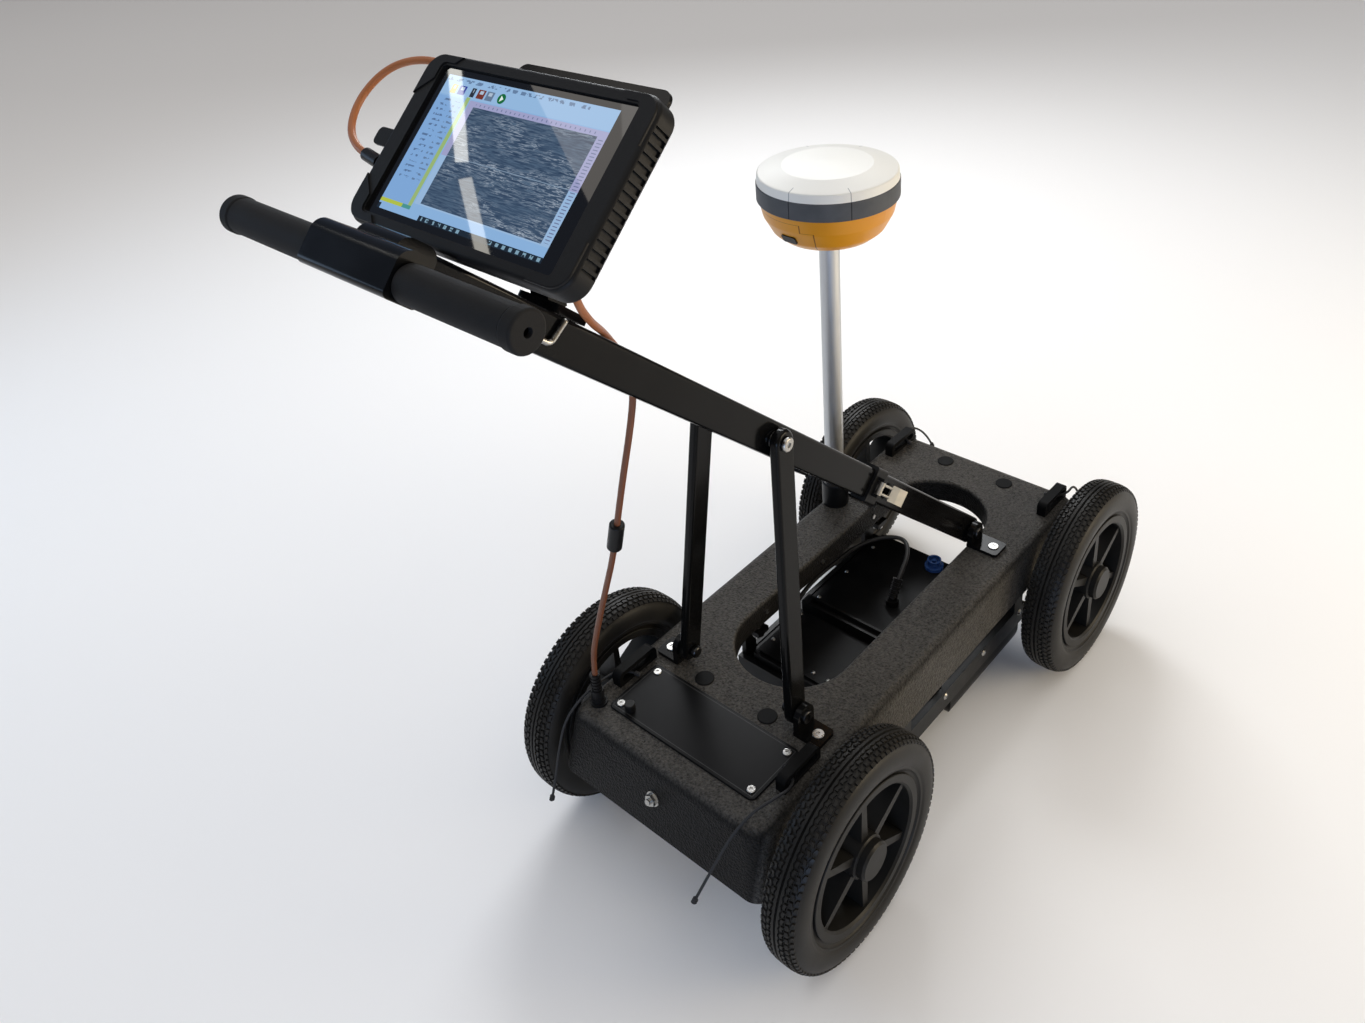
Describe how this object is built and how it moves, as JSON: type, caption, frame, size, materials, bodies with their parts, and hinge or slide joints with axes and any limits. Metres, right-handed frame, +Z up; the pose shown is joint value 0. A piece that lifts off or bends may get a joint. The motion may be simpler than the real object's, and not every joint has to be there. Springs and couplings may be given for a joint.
{
  "type": "ground penetrating radar cart",
  "caption": "Wheeled ground radar cart with an open-slot deck, antenna sled, folding handle frame, tilting tablet and satellite receiver on a pole.",
  "frame": {"origin": "on the ground, under the middle of the whole length and width", "axes": "+X to the operator's right, +Y forward (the way the cart is pushed), +Z up"},
  "size_m": [0.4818, 1.1194, 1.1096],
  "materials": {
    "chassis_plastic": "textured",
    "wheel_plastic": "satin",
    "black_paint": "gloss",
    "black_steel": "satin",
    "yoke_plastic": "gloss",
    "chrome": "polished",
    "steel": "satin",
    "aluminium": "satin",
    "orange_shell": "satin",
    "grey_band": "satin",
    "white_cap": "satin",
    "rubber": "matte",
    "tyre": "matte",
    "tablet_plastic": "matte",
    "screen_glass": "gloss",
    "cable_orange": "satin",
    "cord_black": "matte",
    "cord_rubber": "satin",
    "connector_blue": "gloss"
  },
  "bodies": {
    "chassis": {"chassis_shell": "chassis_plastic", "deck_plugs": "wheel_plastic", "rear_panel": "black_paint", "deck_screws": "chrome", "cord_guides": "wheel_plastic", "hinge_brackets": "black_paint", "pivot_bolts": "black_steel", "axles": "steel", "data_socket": "black_steel", "pole_clamp": "wheel_plastic", "pole": "aluminium", "receiver_body": "orange_shell", "receiver_port": "rubber", "receiver_band": "grey_band", "receiver_cap": "white_cap", "control_unit": "wheel_plastic", "battery_pack": "wheel_plastic", "hanger_pins": "steel", "tie_cords": "cord_black"},
    "power_button": {"power_button": "wheel_plastic"},
    "struts": {"strut_left": "black_paint", "strut_right": "black_paint", "strut_bolts": "steel"},
    "lower_arms": {"lower_arms": "black_paint"},
    "handle": {"beam_left": "black_paint", "beam_right": "black_paint", "latch_blocks": "wheel_plastic", "handlebar_tube": "aluminium", "handlebar_yoke": "yoke_plastic", "grips": "rubber", "cable_hook": "steel", "tablet_mount": "yoke_plastic", "cable_drop": "cable_orange", "ferrite_bead": "wheel_plastic", "cable_boot": "rubber"},
    "latch_left": {"latch_left": "steel"},
    "latch_right": {"latch_right": "steel"},
    "tablet": {"tablet_case": "tablet_plastic", "tablet_bumper": "rubber", "tablet_screen": "screen_glass", "tablet_cradle": "tablet_plastic", "tilt_bolt": "steel", "cable_plug": "rubber", "cable_loop": "cable_orange"},
    "tablet_button": {"tablet_button": "rubber"},
    "antenna": {"antenna_frame": "wheel_plastic", "antenna_housing": "wheel_plastic", "antenna_module": "wheel_plastic", "antenna_lids": "tablet_plastic", "antenna_plug": "connector_blue", "antenna_lead": "cord_rubber", "lead_boot": "cord_rubber"},
    "wheel_rear_right": {"tyre_rear_right": "tyre", "rim_rear_right": "wheel_plastic"},
    "wheel_rear_left": {"tyre_rear_left": "tyre", "rim_rear_left": "wheel_plastic"},
    "wheel_front_right": {"tyre_front_right": "tyre", "rim_front_right": "wheel_plastic"},
    "wheel_front_left": {"tyre_front_left": "tyre", "rim_front_left": "wheel_plastic"}
  },
  "joints": [
    {"name": "wheel_rear_right_spin", "type": "hinge", "parent": "chassis", "child": "wheel_rear_right", "pos_m": [0.205, -0.20229, 0.152], "axis": [1, 0, 0], "continuous": true},
    {"name": "wheel_rear_left_spin", "type": "hinge", "parent": "chassis", "child": "wheel_rear_left", "pos_m": [-0.205, -0.20229, 0.152], "axis": [1, 0, 0], "continuous": true},
    {"name": "wheel_front_right_spin", "type": "hinge", "parent": "chassis", "child": "wheel_front_right", "pos_m": [0.205, 0.40771, 0.152], "axis": [1, 0, 0], "continuous": true},
    {"name": "wheel_front_left_spin", "type": "hinge", "parent": "chassis", "child": "wheel_front_left", "pos_m": [-0.205, 0.40771, 0.152], "axis": [1, 0, 0], "continuous": true},
    {"name": "strut_swing", "type": "hinge", "parent": "chassis", "child": "struts", "pos_m": [0, -0.15629, 0.2675], "axis": [1, 0, 0], "range_deg": [0, 35], "deforming": ["cable_drop", "ferrite_bead", "cable_boot"]},
    {"name": "handle_swing", "type": "hinge", "parent": "struts", "child": "handle", "pos_m": [0, -0.12129, 0.63889], "axis": [1, 0, 0], "range_deg": [0, 40], "deforming": ["cable_drop", "ferrite_bead", "cable_boot"]},
    {"name": "stub_swing", "type": "hinge", "parent": "chassis", "child": "lower_arms", "pos_m": [0, 0.28371, 0.2615], "axis": [1, 0, 0], "range_deg": [0, 40]},
    {"name": "latch_right_swing", "type": "hinge", "parent": "handle", "child": "latch_right", "pos_m": [0.07173, 0.05726, 0.4713], "axis": [-0.0504, -0.6789, -0.7325], "range_deg": [0, 110]},
    {"name": "latch_left_swing", "type": "hinge", "parent": "handle", "child": "latch_left", "pos_m": [-0.07173, 0.05726, 0.4713], "axis": [-0.0504, 0.6789, 0.7325], "range_deg": [0, 110]},
    {"name": "tablet_tilt", "type": "hinge", "parent": "handle", "child": "tablet", "pos_m": [0, -0.36653, 1.01317], "axis": [-1, 0, 0], "range_deg": [0, 30], "deforming": ["cable_loop", "cable_drop"]},
    {"name": "tablet_press", "type": "slide", "parent": "tablet", "child": "tablet_button", "axis": [0, -0.7466, -0.6652], "range_m": [0, 0.0012], "stiffness_N_per_m": 600, "springref_m": -0.001},
    {"name": "power_press", "type": "slide", "parent": "chassis", "child": "power_button", "axis": [0, 0, -1], "range_m": [0, 0.002], "stiffness_N_per_m": 600, "springref_m": -0.001},
    {"name": "antenna_float", "type": "slide", "parent": "chassis", "child": "antenna", "axis": [0, 0, 1], "range_m": [0, 0.02]}
  ]
}
